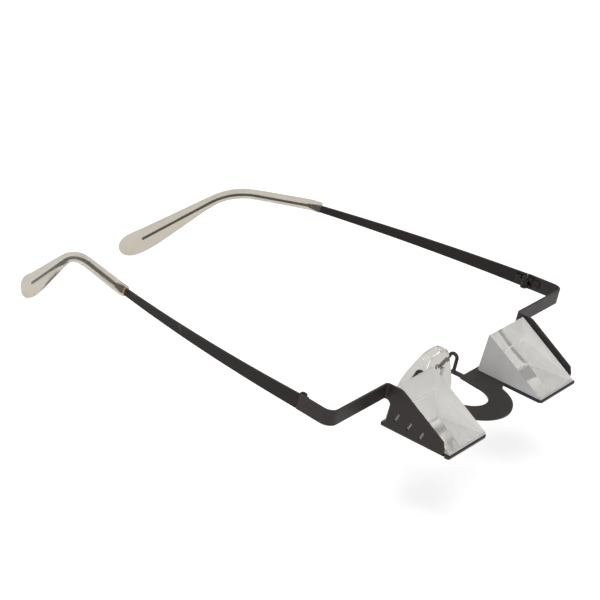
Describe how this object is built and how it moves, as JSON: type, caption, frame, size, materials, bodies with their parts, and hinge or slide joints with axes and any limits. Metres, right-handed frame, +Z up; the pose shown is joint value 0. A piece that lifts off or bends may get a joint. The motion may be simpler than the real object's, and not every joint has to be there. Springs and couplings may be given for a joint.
{
  "type": "belay glasses",
  "caption": "Prism glasses for belaying: mirrored-base glass prisms on a folded sheet metal front, a clear nose saddle and flat folding temples with clear sleeves.",
  "frame": {"origin": "on the underside of the bridge band, midway between the two prisms", "axes": "+Z up, at right angles to the base plates; -Y the way the wearer faces; +X the wearer's left"},
  "size_m": [0.1598, 0.1884, 0.043],
  "materials": {
    "frame_metal": "satin charcoal coating",
    "temple_metal": "satin charcoal coating on spring steel",
    "hinge_metal": "satin charcoal coating",
    "screw_steel": "bright",
    "clip_metal": "bright",
    "prism_glass": "polished faces, fine ground ends",
    "mirror_layer": "silvered",
    "bond_pad": "matte",
    "silicone": "clear soft silicone",
    "clear_sleeve": "clear pale sleeve"
  },
  "bodies": {
    "front": {"front_frame": "frame_metal", "prism_left": "prism_glass", "prism_right": "prism_glass", "prism_mirror_left": "mirror_layer", "prism_mirror_right": "mirror_layer", "prism_bond_left": "bond_pad", "prism_bond_right": "bond_pad", "nose_wire_left": "frame_metal", "nose_wire_right": "frame_metal", "nose_clip_left": "clip_metal", "nose_clip_right": "clip_metal", "nose_saddle": "silicone", "hinge_leaf_front_left": "hinge_metal", "hinge_leaf_front_right": "hinge_metal", "hinge_screw_left": "screw_steel", "hinge_screw_right": "screw_steel"},
    "left_temple": {"hinge_leaf_temple_left": "hinge_metal", "temple_left": "temple_metal", "temple_sleeve_left": "clear_sleeve"},
    "right_temple": {"hinge_leaf_temple_right": "hinge_metal", "temple_right": "temple_metal", "temple_sleeve_right": "clear_sleeve"}
  },
  "joints": [
    {"name": "left_temple_fold", "type": "hinge", "parent": "front", "child": "left_temple", "pos_m": [0.07615, 0.03337, 0.01305], "axis": [0, 0, 1], "range_deg": [0, 74]},
    {"name": "right_temple_fold", "type": "hinge", "parent": "front", "child": "right_temple", "pos_m": [-0.07615, 0.03337, 0.01305], "axis": [0, 0, -1], "range_deg": [0, 79]}
  ]
}
